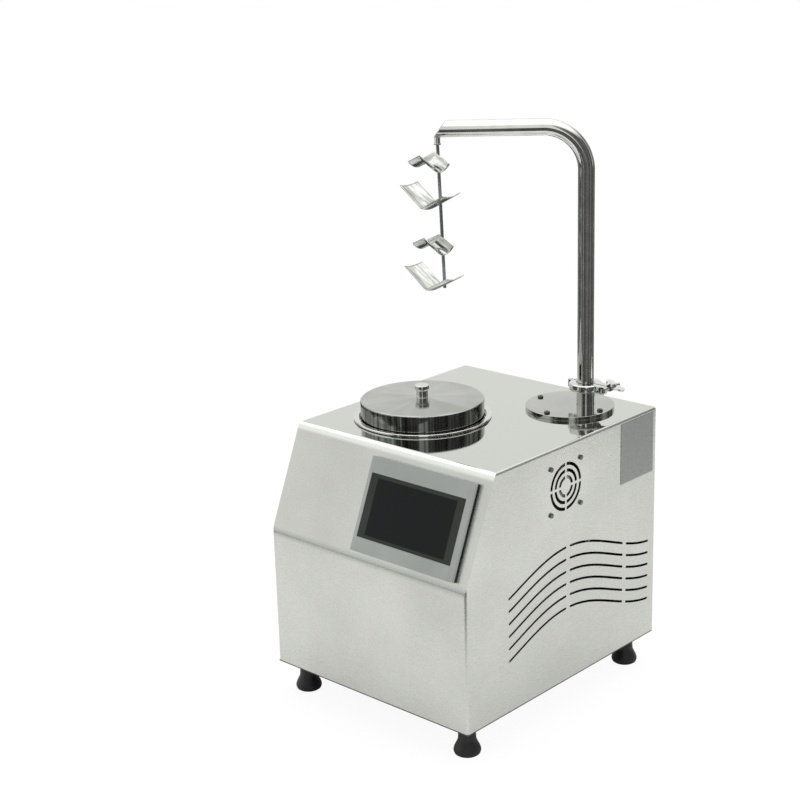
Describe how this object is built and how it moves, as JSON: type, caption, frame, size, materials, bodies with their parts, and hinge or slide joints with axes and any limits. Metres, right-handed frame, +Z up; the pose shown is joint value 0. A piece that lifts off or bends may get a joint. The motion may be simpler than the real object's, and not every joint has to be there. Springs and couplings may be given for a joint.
{
  "type": "chocolate melting tank",
  "caption": "Benchtop chocolate melting tank: steel cabinet with touch screen, lidded pot, gear pump and a swivelling pouring arm with a hanging cascade",
  "frame": {"origin": "on the floor under the middle of the cabinet", "axes": "+X to the right seen from the front, +Y to the back, +Z up; the front faces -Y"},
  "size_m": [0.3952, 0.4736, 0.884],
  "materials": {
    "satin_steel": "fine satin stainless sheet",
    "polished_steel": "mirror-polished stainless steel",
    "screw_steel": "plain stainless screws",
    "base_steel": "dark grey paint",
    "blank_plate": "satin metal foil, bare",
    "foot_rubber": "black moulded rubber",
    "seal_rubber": "black rubber",
    "seal_silicone": "white food-grade silicone",
    "bezel_plastic": "light grey moulded plastic",
    "housing_plastic": "dark grey moulded plastic",
    "screen_glass": "dark screen behind glass, switched off",
    "fan_plastic": "black glass-filled plastic",
    "heater_silicone": "orange silicone heating mat",
    "insulation": "pale mineral wool",
    "pump_steel": "machined stainless steel",
    "gearbox_aluminium": "cast aluminium",
    "motor_paint": "dark paint",
    "supply_aluminium": "folded aluminium case",
    "board_plastic": "green circuit board",
    "inlet_plastic": "black plastic"
  },
  "bodies": {
    "cabinet": {"cabinet_shell": "satin_steel", "rear_cover": "satin_steel", "pump_bracket": "satin_steel", "melting_pot": "polished_steel", "pot_rim": "polished_steel", "base_disc": "polished_steel", "riser_pipe": "polished_steel", "clamp_front": "polished_steel", "clamp_back": "polished_steel", "clamp_pins": "polished_steel", "delivery_pipe": "polished_steel", "union_nut": "polished_steel", "temperature_probe": "polished_steel", "rear_cover_screws": "screw_steel", "foot_bolts": "screw_steel", "fan_screws": "screw_steel", "disc_screws": "screw_steel", "pump_screws": "screw_steel", "base_plate": "base_steel", "blank_plate": "blank_plate", "foot_front_left": "foot_rubber", "foot_front_right": "foot_rubber", "foot_back_left": "foot_rubber", "foot_back_right": "foot_rubber", "hmi_gasket": "seal_rubber", "pot_seal": "seal_rubber", "shaft_seal": "seal_rubber", "ferrule_seal": "seal_silicone", "hmi_bezel": "bezel_plastic", "hmi_housing": "housing_plastic", "hmi_screen": "screen_glass", "fan_frame": "fan_plastic", "heating_mat": "heater_silicone", "pot_insulation": "insulation", "pump_body": "pump_steel", "pump_cover": "pump_steel", "gearbox": "gearbox_aluminium", "motor": "motor_paint", "power_supply": "supply_aluminium", "control_board": "board_plastic", "power_inlet": "inlet_plastic"},
    "lid": {"lid": "polished_steel", "lid_knob": "polished_steel", "knob_screw": "screw_steel"},
    "pouring_arm": {"arm_tube": "polished_steel", "nozzle": "polished_steel", "hanger_pin": "polished_steel"},
    "cascade": {"cascade_rod": "polished_steel", "upper_leaf": "polished_steel", "upper_trough": "polished_steel", "lower_leaf": "polished_steel", "lower_trough": "polished_steel"},
    "clamp_bolt": {"eye_bolt": "polished_steel"},
    "clamp_nut": {"wing_nut": "polished_steel"},
    "fan_rotor": {"fan_impeller": "fan_plastic"},
    "pump_drive": {"drive_gear": "pump_steel", "drive_shaft": "pump_steel"},
    "pump_idler": {"idler_gear": "pump_steel", "idler_shaft": "pump_steel"},
    "power_switch": {"power_rocker": "inlet_plastic"}
  },
  "joints": [
    {"name": "lid_lift", "type": "slide", "parent": "cabinet", "child": "lid", "axis": [0, 0, 1], "range_m": [0, 0.12]},
    {"name": "arm_swivel", "type": "hinge", "parent": "cabinet", "child": "pouring_arm", "pos_m": [0.1102, 0.1639, 0.4672], "axis": [0, 0, 1], "continuous": true},
    {"name": "cascade_swing", "type": "hinge", "parent": "pouring_arm", "child": "cascade", "pos_m": [-0.06277, 0.02283, 0.8546], "axis": [0.989, -0.1478, 0], "range_deg": [-7.2, 2.8]},
    {"name": "bolt_swing", "type": "hinge", "parent": "cabinet", "child": "clamp_bolt", "pos_m": [0.1474, 0.1589, 0.4672], "axis": [0, 0, -1], "range_deg": [0, 90]},
    {"name": "wing_nut_spin", "type": "hinge", "parent": "clamp_bolt", "child": "clamp_nut", "pos_m": [0.1474, 0.1742, 0.4672], "axis": [0, 1, 0], "continuous": true},
    {"name": "fan_spin", "type": "hinge", "parent": "cabinet", "child": "fan_rotor", "pos_m": [0.182, 0, 0.3666], "axis": [1, 0, 0], "continuous": true},
    {"name": "pump_drive_spin", "type": "hinge", "parent": "cabinet", "child": "pump_drive", "pos_m": [-0.0435, -0.0136, 0.186], "axis": [0, 0, 1], "continuous": true},
    {"name": "pump_idler_spin", "type": "hinge", "parent": "cabinet", "child": "pump_idler", "pos_m": [-0.0795, -0.0136, 0.186], "axis": [0, 0, 1], "continuous": true},
    {"name": "rocker_tilt", "type": "hinge", "parent": "cabinet", "child": "power_switch", "pos_m": [-0.13, 0.2305, 0.105], "axis": [-1, 0, 0], "range_deg": [0, 18]}
  ],
  "couplings": [
    {"joint": "pump_idler_spin", "follows": "pump_drive_spin", "ratio": -1}
  ]
}
